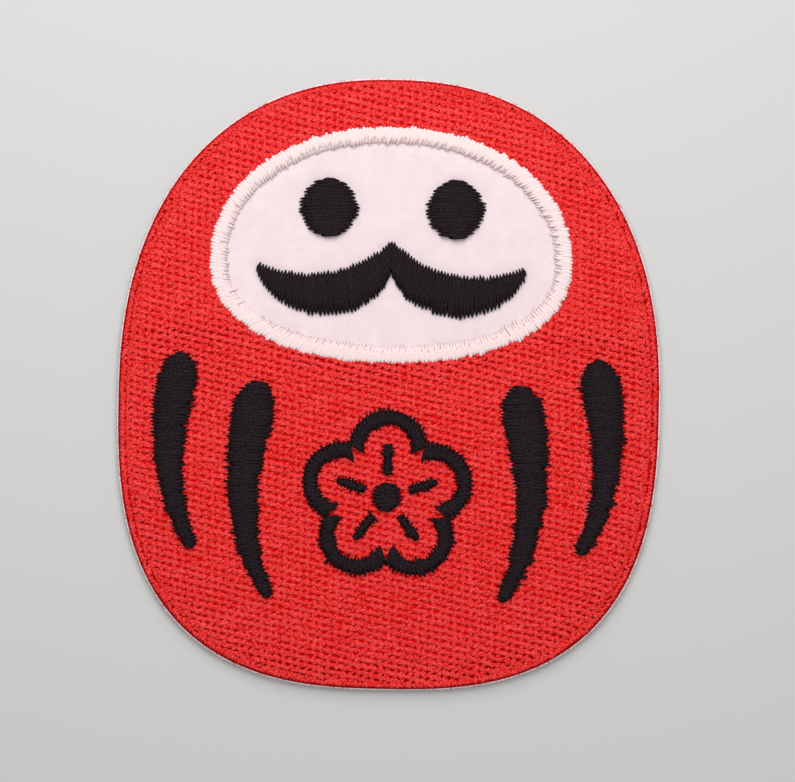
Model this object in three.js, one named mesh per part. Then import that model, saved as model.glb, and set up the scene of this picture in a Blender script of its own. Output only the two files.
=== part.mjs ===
// An embroidered iron-on patch of a daruma doll, as the flat layers and thread areas it is made of.
// Units are millimetres. The patch lies on its back at z = 0, +Z is its front and +Y the doll's crown.
import * as THREE from "three";

// Driving dimensions of the whole patch.
const WIDTH = 63.4; // across the cut edge
const HEIGHT = 71.4; // from the base to the crown
const WAIST_Y = -1.9; // the widest line, from the middle of the height

// Thickness of each layer, from the back to the front.
const FILM = 0.125;
const BOBBIN = 0.125;
const STABILISER = 0.25;
const BASE_CLOTH = 0.375;
const RED_FILL = 0.5;
const RED_BORDER = 0.5625;
const FACE_RING = 0.6875;
const FACE_THREAD = 0.625; // eyes and moustache, sewn on the bare cloth
const TOP_THREAD = 0.5; // stripes and flower, sewn over the red fill

// Thread areas on the flat of the patch.
const CUT_MARGIN = 0.3; // bare cloth left outside the border stitches
const BORDER_WIDTH = 0.8;
const SEAM = 0.1; // clearance between two thread areas that meet
const RING_WIDTH = 2.1;
const FILL_BREAKS_Y = [6, 24]; // where the red fill is sewn in a new section
const FACE_HOLD = 0.6; // how far the underside stitches reach inside the ring

const EYE = { x: 7.4, y: 20.5, radius: 3.4 };

// The flower on the belly: five petal outlines, five stamens and a centre.
const FLOWER = {
  y: -13.1,
  petals: 5,
  petalDistance: 5.6,
  petalRadius: 3.7,
  petalStroke: 1.9,
  petalSlant: 0.42, // how much further round the inner edge of a petal runs, in radians
  stamenStart: 2.7,
  stamenEnd: 6.1,
  stamenStroke: 1.1,
  centreRadius: 1.7,
};

// How finely round edges are drawn.
const EDGE_STEPS = 96;
const RING_STEPS = 72;
const STROKE_STEPS = 18;
const ARC_STEPS = 14;

// Egg outlines: two half superellipses that share the widest line.
const PATCH_EDGE = {
  halfWidth: WIDTH / 2,
  waist: WAIST_Y,
  top: HEIGHT / 2 - WAIST_Y,
  bottom: HEIGHT / 2 + WAIST_Y,
  topPower: 2.3,
  bottomPower: 2.7,
};
const FACE_EDGE = {
  halfWidth: 21.2,
  waist: 14.1,
  top: 16,
  bottom: 11.7,
  topPower: 2.1,
  bottomPower: 2.2,
};

// The same egg, drawn in by a margin on every side.
function inset(egg, margin) {
  return {
    ...egg,
    halfWidth: egg.halfWidth - margin,
    top: egg.top - margin,
    bottom: egg.bottom - margin,
  };
}

// The point of an egg outline at angle t, counted from +X.
function eggPoint(egg, t) {
  const [reach, power] = Math.sin(t) < 0 ? [egg.bottom, egg.bottomPower] : [egg.top, egg.topPower];
  const bulge = (v) => Math.sign(v) * Math.abs(v) ** (2 / power);
  return new THREE.Vector2(egg.halfWidth * bulge(Math.cos(t)), egg.waist + reach * bulge(Math.sin(t)));
}

// The angle in the right half at which an egg outline passes height y.
function eggAngle(egg, y) {
  const [reach, power] = y < egg.waist ? [egg.bottom, egg.bottomPower] : [egg.top, egg.topPower];
  const share = (y - egg.waist) / reach;
  return Math.sign(share) * Math.asin(Math.abs(share) ** (power / 2));
}

function eggArc(egg, from, to, steps) {
  return Array.from({ length: steps + 1 }, (_, i) => eggPoint(egg, from + ((to - from) * i) / steps));
}

function eggLoop(egg, steps) {
  return eggArc(egg, 0, 2 * Math.PI, steps).slice(0, -1);
}

// A flat plate of the given thickness over a closed outline, with an optional hole.
function plate(outline, thickness, hole) {
  const shape = new THREE.Shape(outline);
  if (hole) shape.holes.push(new THREE.Path(hole));
  return new THREE.ExtrudeGeometry(shape, { depth: thickness, bevelEnabled: false });
}

// The part of the band between two eggs that lies between two heights, on the right-hand side.
function sideBand(outer, inner, yLow, yHigh) {
  const outside = eggArc(outer, eggAngle(outer, yLow), eggAngle(outer, yHigh), 20);
  const inside = eggArc(inner, eggAngle(inner, yHigh), eggAngle(inner, yLow), 16);
  return [...outside, ...inside];
}

// The part of the band between two eggs above a height, as an arch; below it when turned is true.
function archBand(outer, inner, y, turned) {
  const side = turned ? -1 : 1;
  const [a, b] = [eggAngle(outer, y), eggAngle(inner, y)];
  const outside = eggArc(outer, a, side * Math.PI - a, 60);
  const inside = eggArc(inner, side * Math.PI - b, b, 32);
  return [...outside, ...inside];
}

const mirrored = (points) => points.map((p) => new THREE.Vector2(-p.x, p.y));

// A brush stroke: a centreline with a blunt round head that tapers to a small round tail.
function brushStroke(centreline, { head, width, tail }) {
  const length = centreline.getLength();
  const tailStart = 1 - tail / 2 / length;
  const widthAt = (s) => {
    if (s < head) return width * Math.sqrt(1 - (1 - s / head) ** 2);
    const tapered = width + ((tail - width) * (s - head)) / (1 - head);
    const rounding = Math.max(0, (s - tailStart) / (1 - tailStart));
    return tapered * Math.sqrt(Math.max(0, 1 - rounding ** 2));
  };
  const side = (sign) =>
    Array.from({ length: STROKE_STEPS + 1 }, (_, i) => {
      const s = 0.5 - 0.5 * Math.cos((Math.PI * i) / STROKE_STEPS);
      const p = centreline.getPointAt(s);
      const t = centreline.getTangentAt(s);
      return new THREE.Vector2(-t.y, t.x).multiplyScalar((sign * widthAt(s)) / 2).add(p);
    });
  return [...side(1), ...side(-1).reverse().slice(1, -1)];
}

// A disc outline of the given radius about a point.
function disc(x, y, radius, steps) {
  const at = (i) => (2 * Math.PI * i) / steps;
  return Array.from(
    { length: steps },
    (_, i) => new THREE.Vector2(x + radius * Math.cos(at(i)), y + radius * Math.sin(at(i))),
  );
}

// One wing of the moustache, right of the middle: a sagging crescent that rises to a small round tip.
function moustacheWing() {
  const wing = new THREE.Shape();
  wing.moveTo(SEAM / 2, 16.5);
  wing.bezierCurveTo(4.4, 12.4, 10.5, 11.4, 15.4, 13.7);
  wing.quadraticCurveTo(16.1, 14, 15.8, 13.4);
  wing.bezierCurveTo(12.5, 5.5, 1.6, 7.3, SEAM / 2, 13.1);
  return wing.getPoints(ARC_STEPS);
}

// One petal outline as a bent bar, opening towards the flower's centre; turn is its direction.
function petal(turn) {
  const { petals, petalDistance: d, petalRadius: r, petalStroke: w, petalSlant } = FLOWER;
  // The outer edge ends half a seam short of the line shared with the next petal.
  const half = Math.PI / petals;
  const outerEnd = half + Math.asin((d * Math.sin(half) - SEAM / 2) / (r + w / 2));
  const innerEnd = outerEnd + petalSlant;
  const arc = (radius, end) =>
    Array.from({ length: ARC_STEPS + 1 }, (_, i) => {
      const a = end * (1 - (2 * i) / ARC_STEPS);
      return new THREE.Vector2(d + radius * Math.cos(a), radius * Math.sin(a));
    });
  return [...arc(r + w / 2, outerEnd), ...arc(r - w / 2, innerEnd).reverse()].map((p) => placeInFlower(p, turn));
}

function stamen(turn) {
  const { stamenStart: from, stamenEnd: to, stamenStroke: w } = FLOWER;
  const bar = [
    [from, -w / 2],
    [to - w / 2, -w / 2],
    [to, 0],
    [to - w / 2, w / 2],
    [from, w / 2],
  ];
  return bar.map(([x, y]) => placeInFlower(new THREE.Vector2(x, y), turn));
}

function placeInFlower(point, turn) {
  return point.rotateAround(new THREE.Vector2(0, 0), turn).add(new THREE.Vector2(0, FLOWER.y));
}

const material = (color, roughness) => new THREE.MeshStandardMaterial({ color, roughness, metalness: 0 });
const finishes = {
  film: material(0xe9e6df, 0.35),
  bobbin: material(0xf1eeea, 0.7),
  stabiliser: material(0xe6e3dc, 0.95),
  cloth: material(0xf2e4e6, 0.9),
  red: material(0xe03431, 0.6),
  white: material(0xf4e6e6, 0.6),
  black: material(0x241e23, 0.6),
};

const patch = new THREE.Group();

function addLayer(name, outline, bottom, thickness, finish, hole) {
  const mesh = new THREE.Mesh(plate(outline, thickness, hole), finish);
  mesh.name = name;
  mesh.position.z = bottom;
  patch.add(mesh);
}

// Heights of the layers' undersides.
const BOBBIN_Z = FILM;
const STABILISER_Z = BOBBIN_Z + BOBBIN;
const CLOTH_Z = STABILISER_Z + STABILISER;
const FILL_Z = CLOTH_Z + BASE_CLOTH;
const TOP_Z = FILL_Z + RED_FILL;

// The backing: meltable film, underside thread, stabiliser and the white ground cloth.
const cutEdge = eggLoop(PATCH_EDGE, EDGE_STEPS);
const stitchedEdge = inset(PATCH_EDGE, CUT_MARGIN);
const ringInside = inset(FACE_EDGE, RING_WIDTH);
addLayer("adhesive_film", cutEdge, 0, FILM, finishes.film);
addLayer("stabiliser", cutEdge, STABILISER_Z, STABILISER, finishes.stabiliser);
addLayer("base_cloth", cutEdge, CLOTH_Z, BASE_CLOTH, finishes.cloth);

const bobbinOpening = eggLoop(inset(FACE_EDGE, RING_WIDTH + FACE_HOLD), RING_STEPS);
addLayer("bobbin_field", eggLoop(stitchedEdge, EDGE_STEPS), BOBBIN_Z, BOBBIN, finishes.bobbin, bobbinOpening);

// Thread in the ring of red and white round the face.
const borderInside = inset(stitchedEdge, BORDER_WIDTH);
const borderHole = eggLoop(borderInside, EDGE_STEPS);
addLayer("red_border", eggLoop(stitchedEdge, EDGE_STEPS), FILL_Z, RED_BORDER, finishes.red, borderHole);
addLayer(
  "face_ring",
  eggLoop(FACE_EDGE, RING_STEPS),
  FILL_Z,
  FACE_RING,
  finishes.white,
  eggLoop(ringInside, RING_STEPS),
);

// The red fill, sewn in four sections round the face.
const fillOuter = inset(borderInside, SEAM);
const fillInner = inset(FACE_EDGE, -SEAM);
const [cheekLow, cheekHigh] = [FILL_BREAKS_Y[0] + SEAM / 2, FILL_BREAKS_Y[1] - SEAM / 2];
const cheek = sideBand(fillOuter, fillInner, cheekLow, cheekHigh);
const crown = archBand(fillOuter, fillInner, FILL_BREAKS_Y[1] + SEAM / 2, false);
const belly = archBand(fillOuter, fillInner, FILL_BREAKS_Y[0] - SEAM / 2, true);
addLayer("red_fill_crown", crown, FILL_Z, RED_FILL, finishes.red);
addLayer("red_fill_right", cheek, FILL_Z, RED_FILL, finishes.red);
addLayer("red_fill_left", mirrored(cheek), FILL_Z, RED_FILL, finishes.red);
addLayer("red_fill_belly", belly, FILL_Z, RED_FILL, finishes.red);

// The stripes down the cheeks, in pairs.
const stripes = {
  outer: {
    path: [
      [23.9, 3.2],
      [26, -4],
      [26.6, -12.5],
      [22.5, -19.4],
    ],
    shape: { head: 0.2, width: 4.75, tail: 1.5 },
  },
  inner: {
    path: [
      [14.9, 0.1],
      [17, -7.5],
      [18.2, -17],
      [13.5, -25],
    ],
    shape: { head: 0.22, width: 4.85, tail: 1.3 },
  },
};

// Everything that comes in a left and a right copy.
const pairs = [
  ["eye", disc(EYE.x, EYE.y, EYE.radius, 32), FILL_Z, FACE_THREAD],
  ["moustache", moustacheWing(), FILL_Z, FACE_THREAD],
  ...Object.entries(stripes).map(([place, { path, shape }]) => {
    const centreline = new THREE.CubicBezierCurve(...path.map(([x, y]) => new THREE.Vector2(x, y)));
    return ["stripe_" + place, brushStroke(centreline, shape), TOP_Z, TOP_THREAD];
  }),
];
for (const [name, outline, bottom, thickness] of pairs) {
  addLayer(name + "_right", outline, bottom, thickness, finishes.black);
  addLayer(name + "_left", mirrored(outline), bottom, thickness, finishes.black);
}

// Underside thread of the eyes and the moustache, inside the opening of the bobbin field.
const bobbinEye = disc(EYE.x, EYE.y, EYE.radius, 24);
addLayer("bobbin_eye_right", bobbinEye, BOBBIN_Z, BOBBIN, finishes.bobbin);
addLayer("bobbin_eye_left", mirrored(bobbinEye), BOBBIN_Z, BOBBIN, finishes.bobbin);
addLayer("bobbin_moustache_right", moustacheWing(), BOBBIN_Z, BOBBIN, finishes.bobbin);
addLayer("bobbin_moustache_left", mirrored(moustacheWing()), BOBBIN_Z, BOBBIN, finishes.bobbin);

// The flower on the belly.
for (let i = 0; i < FLOWER.petals; i += 1) {
  const turn = Math.PI / 2 + (2 * Math.PI * i) / FLOWER.petals;
  addLayer("petal_" + (i + 1), petal(turn), TOP_Z, TOP_THREAD, finishes.black);
  addLayer("stamen_" + (i + 1), stamen(turn), TOP_Z, TOP_THREAD, finishes.black);
}
addLayer("flower_centre", disc(0, FLOWER.y, FLOWER.centreRadius, 20), TOP_Z, TOP_THREAD, finishes.black);

export default patch;
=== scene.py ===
from typing import NamedTuple

import bpy
import numpy as np
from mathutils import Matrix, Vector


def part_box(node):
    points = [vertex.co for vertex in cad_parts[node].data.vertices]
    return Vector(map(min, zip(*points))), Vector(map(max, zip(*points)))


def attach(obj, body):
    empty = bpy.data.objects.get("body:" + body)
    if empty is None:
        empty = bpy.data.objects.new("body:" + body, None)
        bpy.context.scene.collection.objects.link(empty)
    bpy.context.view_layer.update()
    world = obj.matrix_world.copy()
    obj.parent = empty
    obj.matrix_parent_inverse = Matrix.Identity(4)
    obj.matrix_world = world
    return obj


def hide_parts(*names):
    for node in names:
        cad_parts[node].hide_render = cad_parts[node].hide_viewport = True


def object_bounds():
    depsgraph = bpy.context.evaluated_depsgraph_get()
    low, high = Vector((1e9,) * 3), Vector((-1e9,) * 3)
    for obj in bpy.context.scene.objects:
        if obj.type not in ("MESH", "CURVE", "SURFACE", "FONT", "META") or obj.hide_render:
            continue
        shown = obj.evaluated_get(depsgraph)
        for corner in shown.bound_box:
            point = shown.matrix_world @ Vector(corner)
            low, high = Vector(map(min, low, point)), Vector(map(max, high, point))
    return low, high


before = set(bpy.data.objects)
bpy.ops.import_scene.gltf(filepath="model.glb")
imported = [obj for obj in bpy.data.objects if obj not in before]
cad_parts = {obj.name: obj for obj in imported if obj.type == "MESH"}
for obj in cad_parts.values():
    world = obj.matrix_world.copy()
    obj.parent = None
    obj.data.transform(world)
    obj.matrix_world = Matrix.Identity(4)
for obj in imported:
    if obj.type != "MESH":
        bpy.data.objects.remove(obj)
cad_low, cad_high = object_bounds()

MM = 0.001
rng = np.random.default_rng(20)


# --------------------------------------------------
# Ground cloth. A closely woven white polyester twill with a faint pink cast, the only cloth that shows:
# bare inside the face, and as a thin pale line round the rim, where the finished patch was cut out of it.


class Egg(NamedTuple):
    """An egg outline of two half superellipses that share the widest line, in metres."""

    half_width: float
    waist: float
    top: float
    bottom: float
    top_power: float
    bottom_power: float

    def inset(self, margin):
        """The same egg, drawn in by a margin on every side."""
        return self._replace(
            half_width=self.half_width - margin,
            top=self.top - margin,
            bottom=self.bottom - margin,
        )

    def at(self, angle):
        """Outline points: x = w sgn(c) |c|^(2/p), y = waist + reach sgn(s) |s|^(2/p), c and s the angle's."""
        c, s = np.cos(angle), np.sin(angle)
        reach = np.where(s < 0, self.bottom, self.top)
        power = np.where(s < 0, self.bottom_power, self.top_power)
        x = self.half_width * np.sign(c) * np.abs(c) ** (2 / power)
        y = self.waist + reach * np.sign(s) * np.abs(s) ** (2 / power)
        return np.stack([x, y], -1)

    def angle_at(self, y):
        """The right half's angle at height y: sgn(q) asin(|q|^(p/2)), q the share of the reach."""
        reach, power = (self.bottom, self.bottom_power) if y < self.waist else (self.top, self.top_power)
        share = (y - self.waist) / reach
        return np.sign(share) * np.arcsin(abs(share) ** (power / 2))

    def half_width_at(self, y):
        """Half the egg's width at each height: w (1 - |q|^p)^(1/p), and 0 past its ends."""
        reach = np.where(y < self.waist, self.bottom, self.top)
        power = np.where(y < self.waist, self.bottom_power, self.top_power)
        share = np.clip(np.abs(y - self.waist) / reach, 0, 1)
        return self.half_width * (1 - share**power) ** (1 / power)


def egg_round(node, waist, top_power, bottom_power):
    """The egg that fills a CAD node's box."""
    low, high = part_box(node)
    return Egg(high.x, waist, high.y - waist, waist - low.y, top_power, bottom_power)


patch_edge = egg_round("base_cloth", -1.9 * MM, 2.3, 2.7)
face_edge = egg_round("face_ring", 14.1 * MM, 2.1, 2.2)
ring_width = 2.1 * MM
ring_inside = face_edge.inset(ring_width)


def even_angles(egg, count):
    """Angles that step evenly round an egg: equal shares of its length, found on a fine polyline."""
    fine = np.linspace(0, 2 * np.pi, 4001)
    steps = np.linalg.norm(np.diff(egg.at(fine), axis=0), axis=1)
    length = np.concatenate([[0], np.cumsum(steps)])
    return np.interp(np.arange(count) / count * length[-1], length, fine)


def put_mesh(name, points, *face_groups, uv=None, tint=None, shade=None):
    """A smooth-shaded object from an array of points and arrays of faces, one array for each number of sides.
    uv is (u, v) at each face corner; tint and shade are values at each point, kept as attributes."""
    mesh = bpy.data.meshes.new(name)
    mesh.vertices.add(len(points))
    mesh.vertices.foreach_set("co", points.astype(np.float32).ravel())
    corners = np.concatenate([group.ravel() for group in face_groups])
    sides = np.concatenate([np.full(len(group), group.shape[1]) for group in face_groups])
    mesh.loops.add(len(corners))
    mesh.loops.foreach_set("vertex_index", corners.astype(np.int32))
    mesh.polygons.add(len(sides))
    mesh.polygons.foreach_set("loop_start", (np.cumsum(sides) - sides).astype(np.int32))
    mesh.polygons.foreach_set("use_smooth", np.ones(len(sides), bool))
    mesh.update(calc_edges=True)
    if uv is not None:
        mesh.uv_layers.new(name="thread").data.foreach_set("uv", uv.astype(np.float32).ravel())
    for key, values in (("tint", tint), ("shade", shade)):
        if values is not None:
            mesh.attributes.new(key, "FLOAT", "POINT").data.foreach_set("value", values.astype(np.float32))
    made = bpy.data.objects.new(name, mesh)
    bpy.context.scene.collection.objects.link(made)
    return made


def finish_piece(piece, slot, *nodes):
    """Puts a piece on the patch in place of its CAD nodes. Its slot is not used."""
    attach(piece, "root")
    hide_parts(*nodes)


def laid_sheet(name, edge, low, high, rings, spokes, edge_round, wander=0.0):
    """A flat sheet as one closed surface. Its profile runs from the middle of the top out to the edge, round
    it in a half turn of five steps, and back under to the middle, and is carried round the egg: point =
    egg(angle) * q^0.8, with q from 0 to 1. The edge wanders inwards by up to that share of itself, as a sum
    of four waves. low and high give the height of each side over arrays x and y."""
    angle = even_angles(edge, spokes)
    waves = sum(np.sin(k * angle + phase) for k, phase in ((5, 0.4), (11, 2.1), (37, 4.0), (83, 1.3))) / 4
    rim = edge.inset(edge_round).at(angle) * (1 + wander * (waves - 1))[:, None]
    share = np.linspace(0, 1, rings + 1)[1:] ** 0.8
    plan = rim[None] * share[:, None, None]
    outward = edge.at(angle) - edge.inset(edge_round).at(angle)
    bend = np.linspace(np.pi / 2, -np.pi / 2, 7)[1:-1]
    turn = rim[None] + outward[None] * np.cos(bend)[:, None, None]
    top, under = high(plan[..., 0], plan[..., 1]), low(plan[..., 0], plan[..., 1])
    middle, half = (top[-1] + under[-1]) / 2, (top[-1] - under[-1]) / 2
    rows = np.concatenate(
        [
            np.dstack([plan, top]),
            np.dstack([turn, middle[None] + half[None] * np.sin(bend)[:, None]]),
            np.dstack([plan, under])[::-1],
        ]
    )
    zero = np.zeros(1)
    poles = np.array([[0, 0, high(zero, zero)[0]], [0, 0, low(zero, zero)[0]]])
    points = np.concatenate([rows.reshape(-1, 3), poles])
    ring, spoke = np.meshgrid(np.arange(len(rows) - 1), np.arange(spokes), indexing="ij")
    here, there = ring * spokes, (ring + 1) * spokes
    after = (spoke + 1) % spokes
    quads = np.stack([here + spoke, there + spoke, there + after, here + after], -1).reshape(-1, 4)
    first, last = np.arange(spokes), (len(rows) - 1) * spokes + np.arange(spokes)
    top_fan = np.stack([np.full(spokes, len(points) - 2), first, np.roll(first, -1)], -1)
    under_fan = np.stack([np.full(spokes, len(points) - 1), np.roll(last, -1), last], -1)
    return put_mesh(name, points, quads, np.concatenate([top_fan, under_fan]))


def wire(tree, kind, settings=None, **inputs):
    """Adds a shader node. Each input is a value, or another node's output socket to link from. An input
    named i and a number is the socket at that place, and others go by their names, with _ for a space."""
    node = tree.nodes.new("ShaderNode" + kind)
    for key, value in (settings or {}).items():
        setattr(node, key, value)
    for key, value in inputs.items():
        number = key[0] == "i" and key[1:].isdigit()
        socket = node.inputs[int(key[1:]) if number else key.replace("_", " ")]
        if isinstance(value, bpy.types.NodeSocket):
            tree.links.new(value, socket)
        else:
            socket.default_value = value
    return node


def maths(tree, operation, *values):
    """One step of arithmetic on values or sockets."""
    inputs = {f"i{number}": value for number, value in enumerate(values)}
    return wire(tree, "Math", {"operation": operation}, **inputs).outputs[0]


def scaled(tree, vector, amount):
    """A vector or a colour times a number."""
    return wire(tree, "VectorMath", {"operation": "SCALE"}, i0=vector, Scale=amount).outputs[0]


def blend(tree, share, first, second):
    """A mix of two colours: first * (1 - share) + second * share."""
    return wire(tree, "Mix", {"data_type": "RGBA"}, i0=share, i6=first, i7=second).outputs[2]


def new_group(name, inputs, outputs):
    """An empty node group with typed sockets; returns it with its input and output nodes."""
    group = bpy.data.node_groups.new(name, "ShaderNodeTree")
    for key, kind, default in inputs:
        socket = group.interface.new_socket(key, in_out="INPUT", socket_type="NodeSocket" + kind)
        socket.default_value = default
    for key, kind in outputs:
        group.interface.new_socket(key, in_out="OUTPUT", socket_type="NodeSocket" + kind)
    return group, group.nodes.new("NodeGroupInput"), group.nodes.new("NodeGroupOutput")


def place_group(tree, group, **inputs):
    """Places a node group in a tree with its own values."""
    return wire(tree, "Group", {"node_tree": group}, **inputs)


def new_material(name):
    """A material with its Principled shader, both without values yet."""
    material = bpy.data.materials.new(name)
    material.use_nodes = True
    return material, material.node_tree, material.node_tree.nodes["Principled BSDF"]


def set_bump(tree, shader, height, distance):
    """Links a height to the shader's normal through a Bump node."""
    bump = wire(tree, "Bump", Strength=1.0, Distance=distance, Height=height)
    tree.links.new(bump.outputs["Normal"], shader.inputs["Normal"])


# Plain weave: yarns along X and along Y take turns on top, so the height over the cloth is the larger of
# two sets of half waves, |sin x| + 0.6 sin x sin y and |sin y| - 0.6 sin x sin y. The yarns wander a little.
weave, weave_in, weave_out = new_group(
    "plain_weave",
    [("Yarns per metre", "Float", 4000.0), ("Uneven", "Float", 0.3)],
    [("Height", "Float"), ("Yarn shade", "Float")],
)
place = wire(weave, "TexCoord").outputs["Object"]
wobble = wire(weave, "TexNoise", {"noise_dimensions": "3D"}, Vector=place, Scale=900.0, Detail=1.0)
nudge = scaled(weave, wobble.outputs["Color"], 0.06 * MM)
moved = wire(weave, "VectorMath", {"operation": "ADD"}, i0=place, i1=nudge)
axes = wire(weave, "SeparateXYZ", Vector=moved.outputs[0])
count_x = maths(weave, "MULTIPLY", axes.outputs["X"], weave_in.outputs["Yarns per metre"])
count_y = maths(weave, "MULTIPLY", axes.outputs["Y"], weave_in.outputs["Yarns per metre"])
wave_x = maths(weave, "SINE", maths(weave, "MULTIPLY", count_x, np.pi))
wave_y = maths(weave, "SINE", maths(weave, "MULTIPLY", count_y, np.pi))
over = maths(weave, "MULTIPLY", wave_x, wave_y)
warp = maths(weave, "ADD", maths(weave, "ABSOLUTE", wave_x), maths(weave, "MULTIPLY", over, 0.6))
weft = maths(weave, "SUBTRACT", maths(weave, "ABSOLUTE", wave_y), maths(weave, "MULTIPLY", over, 0.6))
weave.links.new(maths(weave, "MAXIMUM", warp, weft), weave_out.inputs["Height"])
row_x = wire(weave, "TexWhiteNoise", {"noise_dimensions": "1D"}, W=maths(weave, "FLOOR", count_x))
row_y = wire(weave, "TexWhiteNoise", {"noise_dimensions": "1D"}, W=maths(weave, "FLOOR", count_y))
uneven = maths(weave, "SUBTRACT", maths(weave, "ADD", row_x.outputs[0], row_y.outputs[0]), 1.0)
weave.links.new(maths(weave, "MULTIPLY", uneven, weave_in.outputs["Uneven"]), weave_out.inputs["Yarn shade"])


def cloth_finish(name, colour, yarns_per_metre, uneven, relief, roughness):
    """A woven cloth. Its colour is scaled by 0.94 + 0.03 height, a painted shade in the low places of the
    weave, plus the yarn's own tone, plus slow patches of up to a tenth either way."""
    material, tree, shader = new_material(name)
    pattern = place_group(tree, weave, Yarns_per_metre=yarns_per_metre, Uneven=uneven)
    place = wire(tree, "TexCoord").outputs["Object"]
    patches = wire(tree, "TexNoise", Vector=place, Scale=520.0, Detail=4.0, Roughness=0.62).outputs[0]
    # Painted shade: the cloth is a little darker where the weave lies low.
    painted_weave_shade = maths(tree, "MULTIPLY_ADD", pattern.outputs["Height"], 0.03, 0.94)
    light = maths(tree, "ADD", painted_weave_shade, pattern.outputs["Yarn shade"])
    light = maths(tree, "ADD", light, maths(tree, "MULTIPLY_ADD", patches, 0.20, -0.10))
    tree.links.new(scaled(tree, colour, light), shader.inputs["Base Color"])
    shader.inputs["Roughness"].default_value = roughness
    shader.inputs["Sheen Weight"].default_value = 0.15
    shader.inputs["Specular IOR Level"].default_value = 0.2
    set_bump(tree, shader, pattern.outputs["Height"], relief)
    return material


cloth_low, cloth_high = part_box("base_cloth")
eye_low, eye_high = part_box("eye_right")
eye_centre = np.array((eye_low + eye_high) / 2)[:2]
eye_radius = (eye_high.x - eye_low.x) / 2


def bezier(corners, share):
    """Points on a cubic Bezier curve at each share, from its four corner points in millimetres."""
    a, b, c, d = (np.array(corner) * MM for corner in corners)
    t = np.asarray(share)[..., None]
    return a * (1 - t) ** 3 + 3 * b * t * (1 - t) ** 2 + 3 * c * t**2 * (1 - t) + d * t**3


# The moustache's right wing: its upper and lower edge, from the middle of the face out to the tip.
wing_top = [(0.05, 16.5), (4.4, 12.4), (10.5, 11.4), (15.8, 13.8)]
wing_low = [(0.05, 13.3), (1.6, 7.3), (12.5, 5.5), (15.8, 13.4)]


def cloth_top(x, y):
    """The cloth's upper side. It is drawn down by depth * exp(-(gap/reach)^2), with the gap to the nearest
    line of stitches, and ripples as two crossed waves, a margin below the top of its node."""
    depth, reach, ripple_height, margin = 0.07 * MM, 0.7 * MM, 0.012 * MM, 0.015 * MM
    turn = np.linspace(0, 2 * np.pi, 60)
    share = np.linspace(0, 1, 40)
    eye = eye_centre + eye_radius * np.stack([np.cos(turn), np.sin(turn)], -1)
    right = np.concatenate([eye, bezier(wing_top, share), bezier(wing_low, share)])
    lines = np.concatenate([right, right * [-1, 1], ring_inside.at(turn)])
    gap = np.min([np.hypot(x - px, y - py) for px, py in lines], axis=0)
    ripple = np.sin(x / (1.9 * MM)) * np.sin(y / (2.3 * MM) + 1) * ripple_height
    return cloth_high.z - depth * np.exp(-((gap / reach) ** 2)) + ripple - margin


def flat_at(height):
    """A side of a sheet that lies flat at one height."""
    return lambda x, y: np.full(np.shape(x), height)


ground_cloth = laid_sheet(
    "ground_cloth",
    patch_edge,
    flat_at(cloth_low.z),
    cloth_top,
    rings=110,
    spokes=400,
    edge_round=0.06 * MM,
    wander=0.0012,
)
cloth_white = cloth_finish(
    "cloth_white",
    (0.862, 0.713, 0.737),
    yarns_per_metre=3900.0,
    uneven=0.012,
    relief=0.008 * MM,
    roughness=0.9,
)
ground_cloth.data.materials.append(cloth_white)
finish_piece(ground_cloth, "base_cloth", "base_cloth")
edge_line = patch_edge.at(np.linspace(0, 2 * np.pi, 2001))


# --------------------------------------------------
# Stabiliser. A non-woven felt that keeps the cloth from puckering while it is sewn. Only its edge shows,
# under the ground cloth's, as both are cut together.

felt_low, felt_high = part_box("stabiliser")
felt_edge = patch_edge.inset(0.04 * MM)
felt_backing = laid_sheet(
    "felt_backing",
    felt_edge,
    flat_at(felt_low.z),
    flat_at(felt_high.z),
    rings=12,
    spokes=300,
    edge_round=0.08 * MM,
    wander=0.002,
)
felt, tree, shader = new_material("felt")
place = wire(tree, "TexCoord").outputs["Object"]
fibres = wire(tree, "TexNoise", Vector=place, Scale=4500.0, Detail=4.0, Distortion=1.5).outputs[0]
tone = wire(tree, "ValToRGB", Fac=fibres)
tones = ((0.3, (0.62, 0.59, 0.54, 1)), (0.7, (0.84, 0.82, 0.77, 1)))
for stop, (position, colour) in zip(tone.color_ramp.elements, tones):
    stop.position = position
    stop.color = colour
tree.links.new(tone.outputs["Color"], shader.inputs["Base Color"])
shader.inputs["Roughness"].default_value = 0.95
set_bump(tree, shader, fibres, 0.06 * MM)
felt_backing.data.materials.append(felt)
finish_piece(felt_backing, "stabiliser", "stabiliser")


# --------------------------------------------------
# Heat-seal film. A milky hot-melt film pressed on to the whole back, so that it sinks a little between the
# rows of bobbin thread that it covers. It is cut with the other layers.

film_low, film_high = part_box("adhesive_film")
film_edge = patch_edge.inset(0.03 * MM)


def film_under(x, y):
    """The film's underside: level, but for shallow puckers of two crossed waves, and for its rim, which is
    turned up as the twelfth power of the share of the way out."""
    pucker_height, rim_rise = 0.012 * MM, 0.02 * MM
    pucker = np.sin(x / (2.7 * MM) + 0.6) * np.sin(y / (3.1 * MM)) * pucker_height
    across = np.hypot(x / film_edge.half_width, (y - film_edge.waist) / film_edge.top)
    return film_low.z + pucker_height + pucker + rim_rise * np.clip(across, 0, 1) ** 12


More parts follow.
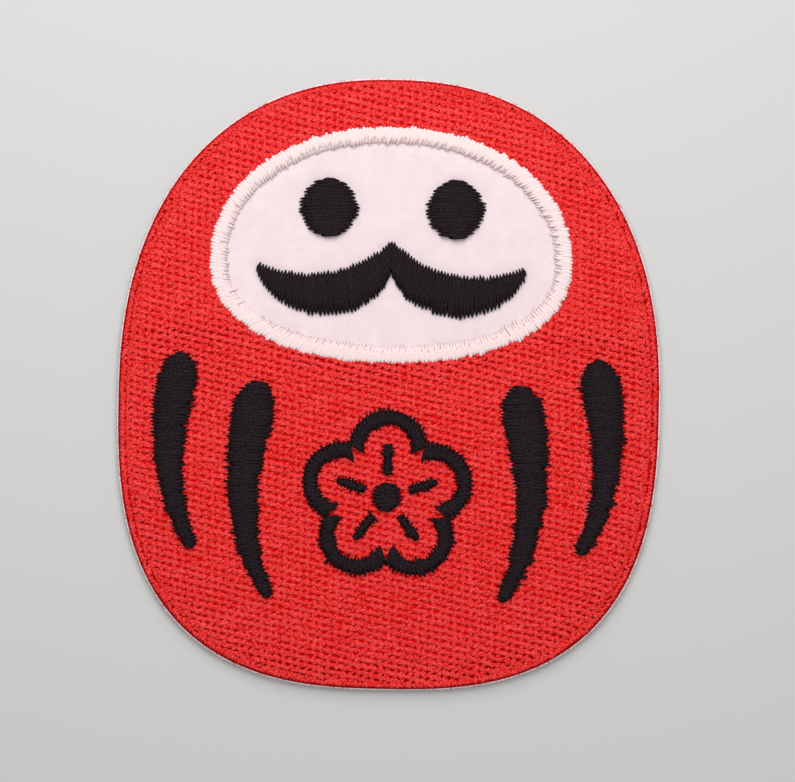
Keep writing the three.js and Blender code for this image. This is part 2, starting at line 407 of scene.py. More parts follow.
heat_seal_sheet = laid_sheet(
    "heat_seal_sheet",
    film_edge,
    film_under,
    flat_at(film_high.z - 0.003 * MM),
    rings=60,
    spokes=300,
    edge_round=0.04 * MM,
    wander=0.001,
)
seal_finish, tree, shader = new_material("heat_seal_film")
place = wire(tree, "TexCoord").outputs["Object"]
grain = wire(tree, "TexNoise", Vector=place, Scale=1800.0, Detail=3.0).outputs[0]
cloud = wire(tree, "TexNoise", Vector=place, Scale=160.0, Detail=2.0).outputs[0]
seal_axes = wire(tree, "SeparateXYZ", Vector=place)
row_wave = maths(tree, "SINE", maths(tree, "MULTIPLY", seal_axes.outputs["Y"], np.pi / (0.2 * MM)))
relief = maths(tree, "ADD", maths(tree, "MULTIPLY", row_wave, 0.35), maths(tree, "MULTIPLY", grain, 0.9))
tone = blend(tree, cloud, (0.86, 0.83, 0.79, 1), (0.95, 0.93, 0.90, 1))
tree.links.new(tone, shader.inputs["Base Color"])
tree.links.new(maths(tree, "MULTIPLY_ADD", grain, 0.25, 0.28), shader.inputs["Roughness"])
shader.inputs["IOR"].default_value = 1.49
shader.inputs["Transmission Weight"].default_value = 0.35
set_bump(tree, shader, relief, 0.02 * MM)
heat_seal_sheet.data.materials.append(seal_finish)
finish_piece(heat_seal_sheet, "heat_seal_film", "adhesive_film")


# --------------------------------------------------
# Red fill. Rows of long running stitches in two-ply red thread cover all the cloth outside the face. Each row
# is stepped on by a quarter of a stitch, so that the needle holes make the slanting lattice that shows.

row_pitch = 0.2015 * MM
stitch_length = 3.45 * MM
SIDES = 6


def sew(start, end, floor, lift, thread, bury=0.15 * MM, sway=0.0, dips=(0.42, 0.42), arch=0.0, pinch=1.0):
    """Stitches as closed six-sided tubes, all worked out at once. Each leaves its needle hole at start, bury
    below the floor, climbs to lift above it within its first dip, and falls again into its hole at end over
    its second one; dips are in millimetres. In between it rises by arch as a half sine and swings sideways by
    sway as one full sine. thread is its (width, thickness), which narrow to a fifth in the holes, and to
    pinch beside the holes of the rows next to it. Returns points, faces, uv, tint and shade: u is
    millimetres along and v once round, tint is one random value for each stitch, and shade is a painted
    shade, 1 where the thread lies open and 0 down in its holes, and lower where it is pinched beside the
    holes of the rows next to it."""
    across = end - start
    length = np.linalg.norm(across, axis=1)[:, None]
    dips = [np.broadcast_to(dip, len(start))[:, None] * MM for dip in dips]
    fit = np.minimum(1, 0.8 * length / (dips[0] + dips[1]))
    first, last = (np.array([0, 0.38, 1]) * dip * fit for dip in dips)
    level = length - first[:, -1:] - last[:, -1:]
    # The rings between the dips: their places as shares of that stretch, and their shares of the full width.
    places, widths = [0.2, 0.5, 0.8], [1, 1, 1]
    if pinch < 1:
        places, widths = [0.08, 0.17, 0.26, 0.74, 0.83, 0.92], [1, pinch, 1, 1, pinch, 1]
    inner = np.array(places) * level + first[:, -1:]
    along = np.concatenate([first, inner, length - last[:, ::-1]], axis=1)
    share = along / length
    climb = np.array([0, 0.62, 1] + [1] * len(places) + [1, 0.62, 0])
    count, rings = share.shape
    width, thick = (np.broadcast_to(t, count)[:, None] for t in thread)
    lift, floor, sway, arch = (np.broadcast_to(v, count)[:, None] for v in (lift, floor, sway, arch))
    direction = across / length
    sideways = np.stack([-direction[:, 1], direction[:, 0], np.zeros(count)], -1)[:, None]
    plan = start[:, None] + across[:, None] * share[..., None]
    plan = plan + sideways[..., :2] * (-sway * np.sin(2 * np.pi * share))[..., None]
    height = floor - bury + (lift + bury) * climb + arch * np.sin(np.pi * share) * (climb == 1)
    centre = np.concatenate([plan, height[..., None]], -1)
    tangent = np.gradient(centre, axis=1)
    tangent /= np.linalg.norm(tangent, axis=-1, keepdims=True)
    upward = np.cross(tangent, sideways)
    slim = np.array([0.18, 0.45, 1] + widths + [1, 0.45, 0.18])
    turn = 2 * np.pi * np.arange(SIDES) / SIDES
    ring = (
        sideways[:, :, None] * (width * slim / 2)[..., None, None] * np.cos(turn)[:, None]
        + upward[:, :, None] * (thick * slim / 2)[..., None, None] * np.sin(turn)[:, None]
    )
    points = (centre[:, :, None] + ring).reshape(-1, 3)
    base = (np.arange(count) * rings * SIDES)[:, None, None]
    step = (np.arange(rings - 1) * SIDES)[None, :, None]
    side = np.arange(SIDES)[None, None, :]
    after = (side + 1) % SIDES
    here, ahead = base + step, base + step + SIDES
    walls = np.stack([here + side, here + after, ahead + after, ahead + side], -1)
    cap = np.array([[0, 3, 2, 1], [0, 5, 4, 3]])
    caps = np.stack([cap, cap[:, ::-1] + (rings - 1) * SIDES])[None] + base[..., None]
    u_ring = along / MM + rng.random((count, 1)) * 9
    u_wall = np.stack([u_ring[:, :-1], u_ring[:, :-1], u_ring[:, 1:], u_ring[:, 1:]], -1)
    u_wall = np.broadcast_to(u_wall[:, :, None], walls.shape)
    v_wall = (np.arange(SIDES)[:, None] + np.array([0, 1, 1, 0])) / SIDES
    v_wall = np.broadcast_to(v_wall[None, None], walls.shape)
    uv_walls = np.stack([u_wall, v_wall], -1).reshape(-1, 2)
    u_caps = np.stack([u_ring[:, 0], u_ring[:, -1]], -1)[:, :, None, None]
    uv_caps = np.stack([np.broadcast_to(u_caps, caps.shape), np.full(caps.shape, 0.5)], -1).reshape(-1, 2)
    faces = np.concatenate([walls.reshape(-1, 4), caps.reshape(-1, 4)])
    tint = np.repeat(rng.random(count), rings * SIDES)
    # Painted shade along each stitch: 0 in its holes, and lower where it is pinched beside the next rows'
    # holes.
    painted_hole_shade = [0, 0.1, 1] + [0.2 + 0.8 * wide for wide in widths] + [1, 0.1, 0]
    shade = np.tile(np.repeat(painted_hole_shade, SIDES), count)
    return points, faces, np.concatenate([uv_walls, uv_caps]), tint, shade


def pad(plan, floor, crown, shade, power=4):
    """Underlay stitching as one closed low pad. A grid of plan points is its top, crown * (0.35 + 0.65 f)
    above the floor, with f the smaller of 1 - |q|^power along and across, and the floor closes it. shade is
    as for a stitch, a painted shade, or below 0 where the pad is to be darker still, as painted shade
    between the stitches over it."""
    rows, columns = plan.shape[:2]
    fall = [1 - np.abs(np.linspace(-1, 1, n)) ** power for n in (rows, columns)]
    top = floor + crown * (0.35 + 0.65 * np.minimum(fall[0][:, None], fall[1][None]))
    under_side = np.dstack([plan, np.full((rows, columns), floor)])
    points = np.concatenate([np.dstack([plan, top]), under_side]).reshape(-1, 3)
    index = np.arange(rows * columns).reshape(rows, columns)
    top_faces = np.stack([index[:-1, :-1], index[1:, :-1], index[1:, 1:], index[:-1, 1:]], -1).reshape(-1, 4)
    rim = np.concatenate([index[:, 0], index[-1, 1:], index[::-1, -1][1:], index[0, ::-1][1:-1]])
    after = np.roll(rim, -1)
    under = rows * columns
    walls = np.stack([rim, rim + under, after + under, after], -1)
    faces = np.concatenate([top_faces, walls, top_faces[:, ::-1] + under])
    corners = points[faces, :2].reshape(-1, 2) / MM
    return points, faces, corners, np.full(len(points), 0.5), np.full(len(points), shade)


def outward(part):
    """The same surface, with its faces turned round if the volume that they enclose, the sum of the
    tetrahedra between each face and the origin, is negative."""
    points, faces, uv, tint, shade = part
    a, b, c, d = (points[faces[:, i]] for i in range(4))
    volume = np.einsum("ij,ij->i", a, np.cross(b, c) + np.cross(c, d)).sum()
    if volume > 0:
        return part
    return points, faces[:, ::-1], uv.reshape(-1, 4, 2)[:, ::-1].reshape(-1, 2), tint, shade


def put_stitched(name, parts, material, slot, *nodes):
    """One piece from several stitched or padded parts."""
    parts = [outward(part) for part in parts]
    first = np.cumsum([0] + [len(part[0]) for part in parts])
    points, uv, tint, shade = (np.concatenate([part[i] for part in parts]) for i in (0, 2, 3, 4))
    faces = np.concatenate([part[1] + start for part, start in zip(parts, first)])
    piece = put_mesh(name, points, faces, uv=uv, tint=tint, shade=shade)
    piece.data.materials.append(material)
    finish_piece(piece, slot, *nodes)


# Two plies twisted together: along u in millimetres and v once round, the height is the twist's
# |sin(2 pi (v + u/twist))|, with fine fibres and specks over it. The colour goes from deep to light with
# level + 0.22 twist + 0.16 fibres + specks, give or take the stitch's own tint and slow patches, which are
# the thread's own uneven tone. The twist term paints shade into the crevices between the plies, and the
# specks paint glints and fibre shade. In red and black thread deep is a painted shade and light a painted
# highlight; in bobbin thread deep is the upper thread's own colour. The colour falls back to deep with the
# shade attribute, a painted shade from 1 to 0 in a needle hole, and is darker still below 0, as painted
# shade on underlay seen between the stitches.
ply, ply_in, ply_out = new_group(
    "two_ply_thread",
    [
        ("Light", "Color", (0.8, 0.8, 0.8, 1)),
        ("Deep", "Color", (0.2, 0.2, 0.2, 1)),
        ("Level", "Float", 0.75),
        ("Twist", "Float", 0.55),
        ("Unevenness", "Float", 0.12),
        ("Fuzz", "Float", 0.3),
    ],
    [("Colour", "Color"), ("Height", "Float"), ("Roughness", "Float")],
)
thread_uv = wire(ply, "UVMap", {"uv_map": "thread"}).outputs[0]
uv_axes = wire(ply, "SeparateXYZ", Vector=thread_uv)
turns = maths(ply, "DIVIDE", uv_axes.outputs["X"], ply_in.outputs["Twist"])
turns = maths(ply, "ADD", turns, uv_axes.outputs["Y"])
lobes = maths(ply, "ABSOLUTE", maths(ply, "SINE", maths(ply, "MULTIPLY", turns, 2 * np.pi)))
stretch = wire(ply, "VectorMath", {"operation": "MULTIPLY"}, i0=thread_uv, i1=(2.2, 16.0, 1.0))
fibre = wire(ply, "TexNoise", Vector=stretch.outputs[0], Scale=1.0, Detail=3.0).outputs[0]
tint_value = wire(ply, "Attribute", {"attribute_name": "tint"}).outputs["Fac"]
shade_value = wire(ply, "Attribute", {"attribute_name": "shade"}).outputs["Fac"]
place = wire(ply, "TexCoord").outputs["Object"]
slow = wire(ply, "TexNoise", Vector=place, Scale=220.0, Detail=2.0).outputs[0]
slow = maths(ply, "MULTIPLY_ADD", slow, 0.4, -0.2)
spread = maths(ply, "ADD", maths(ply, "SUBTRACT", tint_value, 0.5), slow)
spread = maths(ply, "MULTIPLY", spread, ply_in.outputs["Unevenness"])
speck = wire(ply, "TexNoise", Vector=place, Scale=5600.0, Detail=1.0, Roughness=0.5).outputs[0]
speck = maths(ply, "MULTIPLY", maths(ply, "SUBTRACT", speck, 0.5), ply_in.outputs["Fuzz"])
relief = maths(ply, "MULTIPLY_ADD", fibre, 0.35, lobes)
ply.links.new(maths(ply, "MULTIPLY_ADD", speck, 0.8, relief), ply_out.inputs["Height"])
# Painted light and shade: lighter on the crests of the twist and on the specks, darker between them.
crest = maths(ply, "MULTIPLY_ADD", lobes, 0.22, ply_in.outputs["Level"])
crest = maths(ply, "ADD", maths(ply, "MULTIPLY_ADD", fibre, 0.16, crest), spread)
crest = maths(ply, "ADD", crest, speck)
depth = maths(ply, "MULTIPLY", crest, maths(ply, "MAXIMUM", shade_value, 0.0))
colour = blend(ply, depth, ply_in.outputs["Deep"], ply_in.outputs["Light"])
# Painted shade: below 0 the shade attribute darkens underlay seen in the gaps between stitches.
painted_pad_shade = maths(ply, "MULTIPLY_ADD", maths(ply, "MINIMUM", shade_value, 0.0), 0.7, 1.0)
ply.links.new(scaled(ply, colour, painted_pad_shade), ply_out.inputs["Colour"])
ply.links.new(maths(ply, "MULTIPLY_ADD", fibre, 0.25, 0.38), ply_out.inputs["Roughness"])


def thread_finish(name, light, deep, level, unevenness, fuzz, specular):
    """Two-ply embroidery thread: deep is its colour in the holes, a painted shade unless it is another
    thread's own colour, and light that of its brightest fibres, a painted highlight that the specks bring out
    as glints.
    """
    material, tree, shader = new_material(name)
    values = {"Level": level, "Unevenness": unevenness, "Fuzz": fuzz}
    thread = place_group(tree, ply, Light=(*light, 1), Deep=(*deep, 1), **values)
    tree.links.new(thread.outputs["Colour"], shader.inputs["Base Color"])
    tree.links.new(thread.outputs["Roughness"], shader.inputs["Roughness"])
    shader.inputs["Specular IOR Level"].default_value = specular
    set_bump(tree, shader, thread.outputs["Height"], 0.015 * MM)
    return material


# Red thread: deep is the painted shade of its holes, and light its painted highlight, over a low specular.
red_thread = thread_finish(
    "red_thread",
    light=(0.94, 0.100, 0.098),
    deep=(0.70, 0.0, 0.0),
    level=0.20,
    unevenness=0.18,
    fuzz=2.3,
    specular=0.04,
)

fill_low, fill_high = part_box("red_fill_belly")
border_margin, border_width = 0.3 * MM, 0.8 * MM
border_inside = patch_edge.inset(border_margin + border_width)
under_border, under_ring = 0.28 * MM, 0.35 * MM
fill_outer = border_inside.inset(-under_border)
fill_inner = face_edge.inset(under_ring)
patch_top, patch_foot = fill_outer.waist + fill_outer.top, fill_outer.waist - fill_outer.bottom
holes_each_way = 11
shortest_stitch = 0.55 * MM
red_width, red_thick = 0.48 * MM, 0.17 * MM


def fill_rows(low, high, side, stray):
    """Every stitch of the fill whose row lies from low to high. Row j is at j * pitch, with needle holes at
    every stitch length from -j/4 of one, and is cut off at the outer egg and at the face. side is -1 or 1 for
    the rows on one side of the face, and 0 for all of them. Returns start and end points in plan."""
    row = np.arange(np.ceil(low / row_pitch), np.ceil(high / row_pitch))
    y = row * row_pitch
    outer, inner = fill_outer.half_width_at(y), fill_inner.half_width_at(y)
    beside_face = inner > 0
    spans = (
        (-outer, np.where(beside_face, -inner, outer), np.full(len(y), side <= 0)),
        (inner, outer, beside_face & (side >= 0)),
    )
    hole = np.arange(-holes_each_way, holes_each_way + 1)[None] * stitch_length
    hole = hole - (row[:, None] % 4) / 4 * stitch_length
    hole = hole + rng.normal(0, stray, hole.shape)
    starts, ends = [], []
    for left, right, sewn in spans:
        a = np.clip(hole[:, :-1], left[:, None], right[:, None])
        b = np.clip(hole[:, 1:], left[:, None], right[:, None])
        keep = (b - a > shortest_stitch) & sewn[:, None]
        lines = np.broadcast_to(y[:, None], a.shape)
        starts.append(np.stack([a[keep], lines[keep]], -1))
        ends.append(np.stack([b[keep], lines[keep]], -1))
    start, end = np.concatenate(starts), np.concatenate(ends)
    start[:, 1] += rng.normal(0, stray * 0.3, len(start))
    end[:, 1] += rng.normal(0, stray * 0.3, len(end))
    return start, end


def fill_pad(low, high, side):
    """The underlay below one section of the fill, a band between the two eggs. At a side it runs from one
    height to the other; over the crown and round the belly it runs from the angle a of its only break to
    the one across, pi - a or -pi - a."""
    eggs = (fill_inner, fill_outer)
    if side:
        limits = [(egg.angle_at(low), egg.angle_at(high)) for egg in eggs]
    elif high == patch_top:
        limits = [(egg.angle_at(low), np.pi - egg.angle_at(low)) for egg in eggs]
    else:
        limits = [(egg.angle_at(high), -np.pi - egg.angle_at(high)) for egg in eggs]
    near, far = (egg.at(np.linspace(*limit, 90)) for egg, limit in zip(eggs, limits))
    across = np.linspace(0, 1, 12)[None, :, None]
    plan = near[:, None] * (1 - across) + far[:, None] * across
    # The underlay shows in the needle holes in the deep colour, a painted shade.
    return pad(plan * [side or 1, 1], fill_low.z, 0.28 * MM, shade=0.0, power=14)


# Room that stitches leave between their middle line and the top of their node, for arch and half a thread.
headroom = 0.18 * MM


def red_section(name, low, high, side, node, padding, stray, sway, dip, pinch):
    """One section of the fill, over its underlay if it has one. stray is how far its needle holes stray, and
    sway, dip and pinch are as for the stitches: the belly, sewn last, is pulled about the most."""
    start, end = fill_rows(low, high, side, stray)
    count = len(start)
    full = np.linalg.norm(end - start, axis=1) / stitch_length
    rows = sew(
        start,
        end,
        fill_low.z,
        fill_high.z - fill_low.z - headroom + rng.normal(0, 0.02 * MM, count),
        (red_width * rng.normal(1, 0.10, count), red_thick),
        bury=0.08 * MM,
        sway=-rng.normal(sway, sway, count) * np.minimum(1, full) ** 2,
        dips=(dip, dip),
        arch=0.05 * MM * full,
        pinch=pinch,
    )
    parts = [rows, fill_pad(*padding, side)] if padding else [rows]
    put_stitched(name, parts, red_thread, "red_thread", node)


# The sections meet at these heights. The belly's rows are three pieces, over one underlay.
crown_break, cheek_break, belly_break, hem_break = 24 * MM, 6 * MM, -7 * MM, -19 * MM
crown, cheek, belly = (crown_break, patch_top), (cheek_break, crown_break), (patch_foot, cheek_break)
upper_look = {"stray": 0.10 * MM, "sway": 0.040 * MM, "dip": 0.42, "pinch": 0.08}
belly_look = {"stray": 0.13 * MM, "sway": 0.065 * MM, "dip": 0.46, "pinch": 0.02}
for name, low, high, side, node, padding, look in (
    ("crown_stitches", *crown, 0, "red_fill_crown", crown, upper_look),
    ("right_stitches", *cheek, 1, "red_fill_right", cheek, upper_look),
    ("left_stitches", *cheek, -1, "red_fill_left", cheek, upper_look),
    ("belly_stitches_upper", belly_break, cheek_break, 0, "red_fill_belly", belly, belly_look),
    ("belly_stitches_middle", hem_break, belly_break, 0, "red_fill_belly", None, belly_look),
    ("belly_stitches_lower", patch_foot, hem_break, 0, "red_fill_belly", None, belly_look),
):
    red_section(name, low, high, side, node, padding, **look)


# --------------------------------------------------
# Border. A narrow zigzag in the red thread holds the layers together at the rim, just inside the cut edge.


def zigzag(edge_a, edge_b):
    """Satin stitches between two edges given as arrays of facing points: the thread goes from edge a to the
    next point of edge b and back, so that two stitches share each needle hole."""
    even = (np.arange(len(edge_a) - 1) % 2 == 0)[:, None]
    start = np.where(even, edge_a[:-1], edge_b[:-1])
    end = np.where(even, edge_b[1:], edge_a[1:])
    return start, end


def loose(points, amount):
    """Points moved a little at random, as the needle never lands quite on its line."""
    return points + rng.normal(0, amount, points.shape)


border_low, border_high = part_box("red_border")
border_count, border_slant, border_headroom = 960, 2, 0.17 * MM
border_steps = np.arange(border_count + 1)
border_angles = even_angles(patch_edge, border_count)
facing = border_angles[border_steps % border_count]
slanted = border_angles[(border_steps - border_slant) % border_count]
start, end = zigzag(
    loose(patch_edge.inset(border_margin).at(facing), 0.03 * MM),
    loose(border_inside.at(slanted), 0.11 * MM),
)
share = np.linspace(0, 1, 8)[None, :, None]
border_plan = patch_edge.inset(0.20 * MM).at(facing)[:, None] * (1 - share)
border_plan = border_plan + border_inside.inset(0.35 * MM).at(facing)[:, None] * share
border = sew(
    start,
    end,
    border_low.z,
    border_high.z - border_low.z - border_headroom + rng.normal(0, 0.02 * MM, len(start)),
    (0.30 * MM * rng.normal(1, 0.12, len(start)), 0.20 * MM),
    dips=(0.25, 0.3),
)
# Painted shadow: the underlay is darker where it shows between the border and the cut edge.
underlay = pad(border_plan, border_low.z, 0.16 * MM, shade=-0.6)
put_stitched("border_zigzag", [border, underlay], red_thread, "red_thread", "red_border")


# --------------------------------------------------
# Stripes. Four black brush strokes down the cheeks, in wide satin sewn level, over the red fill.

top_low, top_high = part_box("stripe_outer_right")
top_lift = top_high.z - top_low.z
satin_width, satin_thick = 0.42 * MM, 0.14 * MM
# Black thread: deep is the painted shade of its holes, and light its painted highlight.
black_thread = thread_finish(
    "black_thread",
    light=(0.028, 0.016, 0.0215),
    deep=(0.006, 0.004, 0.005),
    level=0.12,
    unevenness=0.16,
    fuzz=3.2,
    specular=0.06,
)


def brush_stroke(corners, head, width, tail):
    """The closed outline of a stroke, for plan points on a Bezier centreline at share s of its length. Its
    width is W sqrt(1 - (1 - s/head)^2) over the round head, and then runs evenly down to the tail's, whose
    end is a half circle."""
    fine = bezier(corners, np.linspace(0, 1, 400))
    length = np.concatenate([[0], np.cumsum(np.linalg.norm(np.diff(fine, axis=0), axis=1))])
    s = 0.5 - 0.5 * np.cos(np.linspace(0, np.pi, 80))
    line = np.stack([np.interp(s * length[-1], length, fine[:, i]) for i in (0, 1)], -1)
    along = np.gradient(line, axis=0)
    along /= np.linalg.norm(along, axis=1, keepdims=True)
    normal = np.stack([-along[:, 1], along[:, 0]], -1)
    round_head = width * np.sqrt(np.clip(1 - (1 - np.minimum(s, head) / head) ** 2, 0, 1))
    taper = width + (tail - width) * (s - head) / (1 - head)
    last = 1 - tail * MM / 2 / length[-1]
    round_tail = np.sqrt(1 - np.clip((s - last) / (1 - last), 0, 1) ** 2)
    half = np.where(s < head, round_head, taper * round_tail)[:, None] * MM / 2
    return np.concatenate([line + normal * half, (line - normal * half)[::-1]])


def level_edges(outline, pitch):
    """The left and right ends of level rows across a closed outline, found where its sides cross each row."""
    y = np.arange(outline[:, 1].min() + pitch / 2, outline[:, 1].max(), pitch)[::-1]
    a, b = outline, np.roll(outline, -1, axis=0)
    crosses = (a[:, 1] > y[:, None]) != (b[:, 1] > y[:, None])
    rise = np.where(a[:, 1] == b[:, 1], 1, b[:, 1] - a[:, 1])
    x = a[:, 0] + (y[:, None] - a[:, 1]) / rise * (b[:, 0] - a[:, 0])
    left = np.where(crosses, x, np.inf).min(1)
    right = np.where(crosses, x, -np.inf).max(1)
    return np.stack([left, y], -1), np.stack([right, y], -1)


def satin(
    node, edges, floor, lift, finish=None, reach=0.12, stray=(0.14, 0.14), dips=(0.55, 0.55), crown=0.55
):
    """A satin area between two edges in place of a CAD node: a zigzag of stitches over a low pad of underlay.
    reach is how far the needle goes beyond both edges. For each edge in turn, stray is how much that varies,
    and dips the length over which the thread rises there; all are in millimetres. finish is (material,
    slot), black thread if left out. crown is the underlay's share of the height."""
    edge_a, edge_b = edges
    material, slot = finish or (black_thread, "black_thread")
    start, end = zigzag(loose(edge_a, 0.02 * MM), loose(edge_b, 0.02 * MM))
    count = len(start)
    length = np.linalg.norm(end - start, axis=1)
    even = np.arange(count) % 2 == 0
    outer, inner = (rng.normal(-reach, amount, count) * MM for amount in stray)
    direction = (end - start) / length[:, None]
    start = start + direction * np.where(even, outer, inner)[:, None]
    end = end - direction * np.where(even, inner, outer)[:, None]
    sewn = sew(
        start,
        end,
        floor,
        lift - headroom + rng.normal(0, 0.010 * MM, count),
        (satin_width * rng.normal(1, 0.10, count), satin_thick),
        arch=np.minimum(0.07 * MM, length * 0.03),
        dips=(np.where(even, *dips), np.where(even, *dips[::-1])),
    )
    share = np.linspace(0.1, 0.9, 9)[None, :, None]
    plan = edge_a[:, None] * (1 - share) + edge_b[:, None] * share
    # Under black satin the underlay is painted darker still, as painted shade in the gaps.
    underlay = pad(plan, floor, lift * crown, shade=0.6 if finish else -1.0)
    put_stitched(node + "_satin", [sewn, underlay], material, slot, node)


# Each stripe's centreline in millimetres, then its head as a share of it, its width and its tail's width.
stripes = {
    "outer": ([(23.9, 3.2), (26.0, -4.0), (26.6, -12.5), (22.5, -19.4)], 0.15, 4.75, 1.5),
    "inner": ([(14.9, 0.1), (17.0, -7.5), (18.2, -17.0), (13.5, -25.0)], 0.17, 4.85, 1.3),
}
stripe_reach = {"outer": 0.12, "inner": 0.20}
for place_name, stroke in stripes.items():
    outline = brush_stroke(*stroke)
    for side_name, side in (("right", 1), ("left", -1)):
        edges = level_edges(outline * [side, 1], 0.2 * MM)
        reach = stripe_reach[place_name]
        satin(f"stripe_{place_name}_{side_name}", edges, top_low.z, top_lift, reach=reach, stray=(0.19, 0.19))


# --------------------------------------------------
# Flower. Five petal outlines, five stamens and a centre, in black satin bars over the red fill on the belly.

centre_low, centre_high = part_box("flower_centre")
flower = np.array((centre_low + centre_high) / 2)[:2]
centre_radius = (centre_high.x - centre_low.x) / 2
PETALS = 5
petal_distance, petal_radius, petal_stroke = 5.6 * MM, 3.7 * MM, 1.9 * MM
petal_overlap, inner_overlap = 0.05 * MM, 0.42
stamen_foot, stamen_neck, stamen_tip = 2.7 * MM, 5.5 * MM, 6.1 * MM
stamen_half, stamen_tip_half = 0.55 * MM, 0.4 * MM
bar_pitch = 0.21 * MM


def turned(points, angle):
    """Plan points turned about the origin and moved to the flower's centre."""
    c, s = np.cos(angle), np.sin(angle)
    return points @ np.array([[c, s], [-s, c]]) + flower


# A petal's two edges are arcs about its own centre. The outer one ends where it meets the next petal's, at
# half the petals' angle + asin(distance * sin(half angle) / radius), less the overlap, and the inner one
# goes on further.
half_angle = np.pi / PETALS
outer_radius, inner_radius = petal_radius + petal_stroke / 2, petal_radius - petal_stroke / 2
outer_end = half_angle + np.arcsin((petal_distance * np.sin(half_angle) - petal_overlap) / outer_radius)
inner_end = outer_end + inner_overlap
steps = np.linspace(-1, 1, int(2 * outer_end * petal_radius / bar_pitch))
for i in range(PETALS):
    turn = np.pi / 2 + 2 * np.pi * i / PETALS
    edges = [
        turned(np.stack([petal_distance + r * np.cos(end * steps), r * np.sin(end * steps)], -1), turn)
        for r, end in ((outer_radius, outer_end), (inner_radius, inner_end))
    ]
    satin(f"petal_{i + 1}", edges, top_low.z, top_lift)
    along = np.linspace(stamen_foot, stamen_tip, 17)
    half = np.where(along > stamen_neck, stamen_tip_half, stamen_half)
    edges = [turned(np.stack([along, half * way], -1), turn) for way in (-1, 1)]
    satin(f"stamen_{i + 1}", edges, top_low.z, top_lift)

turn = np.linspace(0, 2 * np.pi, 60, endpoint=False)
circle = np.stack([np.cos(turn), np.sin(turn)], -1)
satin("flower_centre", level_edges(flower + centre_radius * circle, bar_pitch), top_low.z, top_lift)


# --------------------------------------------------
# Face ring. A band of white satin, sewn square to its own line, covers the joint between fill and bare cloth.

ring_low, ring_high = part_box("face_ring")
white_thread = thread_finish(
    "white_thread",
    light=(0.90, 0.72, 0.715),
    deep=(0.90, 0.72, 0.72),
    level=0.42,
    unevenness=0.10,
    fuzz=1.0,
    specular=0.2,
)
ring_slant, ring_fullness = 0.035, 0.88
ring_angles = np.append(even_angles(face_edge, 560), 2 * np.pi)
ring_edges = [
    face_edge.inset(-0.18 * MM).at(ring_angles),
    ring_inside.inset(0.02 * MM).at(ring_angles + ring_slant),
]
satin(
    "face_ring",
    ring_edges,
    ring_low.z,
    (ring_high.z - ring_low.z) * ring_fullness,
    (white_thread, "white_thread"),
    reach=0.0,
    stray=(0.12, 0.17),
    dips=(0.5, 0.8),
    crown=0.62,
)


# --------------------------------------------------
# Eyes and moustache. Black satin on the bare cloth: the eyes sewn level, the moustache up and down.

eye_lift = eye_high.z - eye_low.z
wing_share = np.linspace(0.0, 0.985, 86)
for side_name, side in (("right", 1), ("left", -1)):
    mirror = np.array([side, 1])
    edges = level_edges((eye_centre + eye_radius * circle) * mirror, 0.195 * MM)
    satin(f"eye_{side_name}", edges, eye_low.z, eye_lift, reach=0.03, stray=(0.13, 0.13))
    edges = [bezier(edge, wing_share) * mirror for edge in (wing_top, wing_low)]
    satin(f"moustache_{side_name}", edges, eye_low.z, eye_lift, reach=0.30, stray=(0.1, 0.1))


# --------------------------------------------------
# Bobbin thread. The machine's white lower thread holds every stitch from behind, in flat strands between the
# felt and the film. At each needle hole a little of the red or black upper thread is drawn through.


def sewn_below(start, end):
    """Flat strands hung below the felt: ordinary stitches turned upside down about its underside, so that z
    becomes twice its height less z."""
    part = sew(start, end, felt_low.z, 0.06 * MM, (0.36 * MM, 0.09 * MM), bury=0.1 * MM)
    return part[0] * [1, 1, -1] + [0, 0, 2 * felt_low.z], *part[1:]


def bobbin_finish(name, upper_colour):
    """White thread that takes on the upper thread's colour at its holes."""
    return thread_finish(
        name,
        light=(0.90, 0.87, 0.83),
        deep=upper_colour,
        level=0.60,
        unevenness=0.15,
        fuzz=0.4,
        specular=0.25,
    )


bobbin_red = bobbin_finish("bobbin_under_red", (0.55, 0.03, 0.03))
bobbin_black = bobbin_finish("bobbin_under_black", (0.04, 0.03, 0.03))
for name, low, high in (("bobbin_rows_upper", 0, patch_top), ("bobbin_rows_lower", patch_foot, 0)):
    start, end = fill_rows(low, high, 0, 0.1 * MM)
    other = np.round(start[:, 1] / row_pitch) % 2 == 0
    put_stitched(name, [sewn_below(start[other], end[other])], bobbin_red, "bobbin_thread", "bobbin_field")
rounds = []
for near, far, count in (
    (patch_edge.inset(border_margin), border_inside, 480),
    (face_edge, ring_inside, 280),
):
    turn = np.append(even_angles(near, count), 2 * np.pi)
    rounds.append(sewn_below(*zigzag(near.at(turn), far.at(turn))))
put_stitched("bobbin_rounds", rounds, bobbin_red, "bobbin_thread", "bobbin_field")
for side_name, side in (("right", 1), ("left", -1)):
    mirror = np.array([side, 1])
    eye_bars = level_edges((eye_centre + eye_radius * circle) * mirror, 0.39 * MM)
    wing_bars = [bezier(edge, wing_share[::2]) * mirror for edge in (wing_top, wing_low)]
    for place_name, bars in (("eye", eye_bars), ("moustache", wing_bars)):
        strands = sewn_below(*zigzag(*bars))
        node = f"bobbin_{place_name}_{side_name}"
        put_stitched(f"bobbin_bars_{place_name}_{side_name}", [strands], bobbin_black, "bobbin_thread", node)


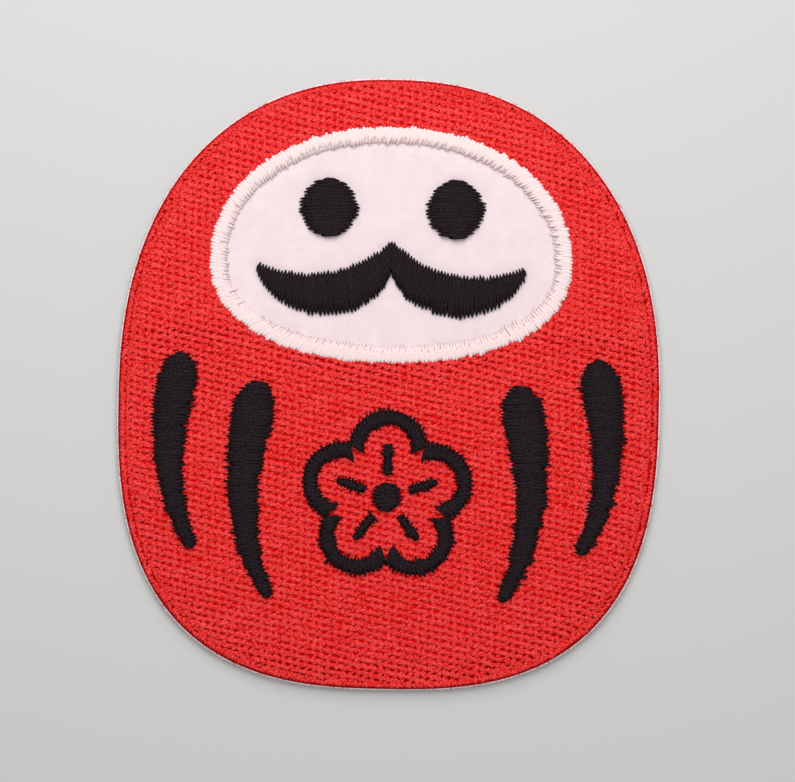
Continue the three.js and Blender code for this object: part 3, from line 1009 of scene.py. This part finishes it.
# The needle draws tiny loops of this thread up to the front, beside the left edge of each stripe. They are
# short thin stitches out from that edge, and take on some of the red about them.
loop_pitch, loop_chance, loop_shade = 0.42 * MM, 0.8, 0.45
loops = []
for stroke in stripes.values():
    for side in (1, -1):
        left = level_edges(brush_stroke(*stroke) * [side, 1], loop_pitch)[0]
        left = left[rng.random(len(left)) < loop_chance]
        out, down = rng.uniform(0.28, 0.48, len(left)), rng.uniform(-0.02, 0.14, len(left))
        tip = left - np.stack([out, down], -1) * MM
        root = left + [0.08 * MM, 0]
        loop = sew(root, tip, top_low.z - 0.05 * MM, 0.11 * MM, (0.055 * MM, 0.06 * MM), dips=(0.1, 0.1))
        loops.append((*loop[:4], loop[4] * loop_shade))
put_stitched("bobbin_loops", loops, bobbin_red, "bobbin_thread", "bobbin_field")


# --------------------------------------------------
# Cut edge. Short fibres stand out where the patch was cut from its sheet: white ones of the ground cloth from
# the side, and red ones of the border's thread that the knife caught, lying over the edge.


def fray(count, root, reach, drift, level):
    """Fibres as thin stitches from an inset of root out past the edge by reach, each cut to its own length
    and slanted along the edge by a normal draw of drift radians. level is their height."""
    angle = rng.uniform(0, 2 * np.pi, count)
    start = patch_edge.inset(root).at(angle)
    tip = patch_edge.inset(-reach).at(angle + rng.normal(0, drift, count))
    end = start + (tip - start) * rng.uniform(0.45, 1, count)[:, None]
    height = level + rng.normal(0, 0.04 * MM, count)
    return sew(start, end, height, 0.03 * MM, (0.045 * MM, 0.04 * MM), bury=0.0)


white_fray = fray(170, 0.12 * MM, 0.28 * MM, 0.008, (cloth_low.z + cloth_high.z) / 2)
put_stitched("cut_edge_fibres", [white_fray], cloth_white, "base_cloth", "base_cloth")
red_fray = fray(420, 0.24 * MM, 0.07 * MM, 0.012, cloth_high.z - 0.03 * MM)
put_stitched("border_fibres", [red_fray], red_thread, "red_thread", "red_border")


# --------------------------------------------------
# Studio. A plain pale table, a large soft lamp beyond the crown, a weak one opposite, and a camera overhead.

table_half, table_drop = 0.6, 0.02 * MM
table_corners = np.array([[-1, -1, 0], [1, -1, 0], [1, 1, 0], [-1, 1, 0]]) * table_half - [0, 0, table_drop]
table = put_mesh("table", table_corners, np.array([[0, 1, 2, 3]]))
table_finish, tree, shader = new_material("table")
shader.inputs["Base Color"].default_value = (0.62, 0.62, 0.61, 1)
shader.inputs["Roughness"].default_value = 0.8
table.data.materials.append(table_finish)


def soft_lamp(name, place, size, power):
    """A square area lamp that faces the patch."""
    data = bpy.data.lights.new(name, "AREA")
    data.size, data.energy = size, power
    lamp = bpy.data.objects.new(name, data)
    lamp.location = place
    lamp.rotation_euler = (-lamp.location).to_track_quat("-Z", "Y").to_euler()
    bpy.context.scene.collection.objects.link(lamp)


soft_lamp("key_lamp", (-0.012, 0.135, 0.19), 0.22, 0.513)
soft_lamp("fill_lamp", (0.30, -0.35, 0.45), 0.40, 0.4)
world = bpy.data.worlds.new("studio")
world.use_nodes = True
world.node_tree.nodes["Background"].inputs["Color"].default_value = (1, 1, 1, 1)
world.node_tree.nodes["Background"].inputs["Strength"].default_value = 0.40
bpy.context.scene.world = world

camera = bpy.data.objects.new("camera", bpy.data.cameras.new("camera"))
view_height, view_width = 0.50, 0.0925
camera.data.sensor_width = 36
camera.data.lens = 36 * view_height / view_width
camera.location = (1.0 * MM, -0.75 * MM, view_height + cad_high.z)
camera.rotation_euler = (0, 0, np.radians(1.1))
bpy.context.scene.collection.objects.link(camera)
bpy.context.scene.camera = camera
bpy.context.scene.view_settings.view_transform = "Standard"
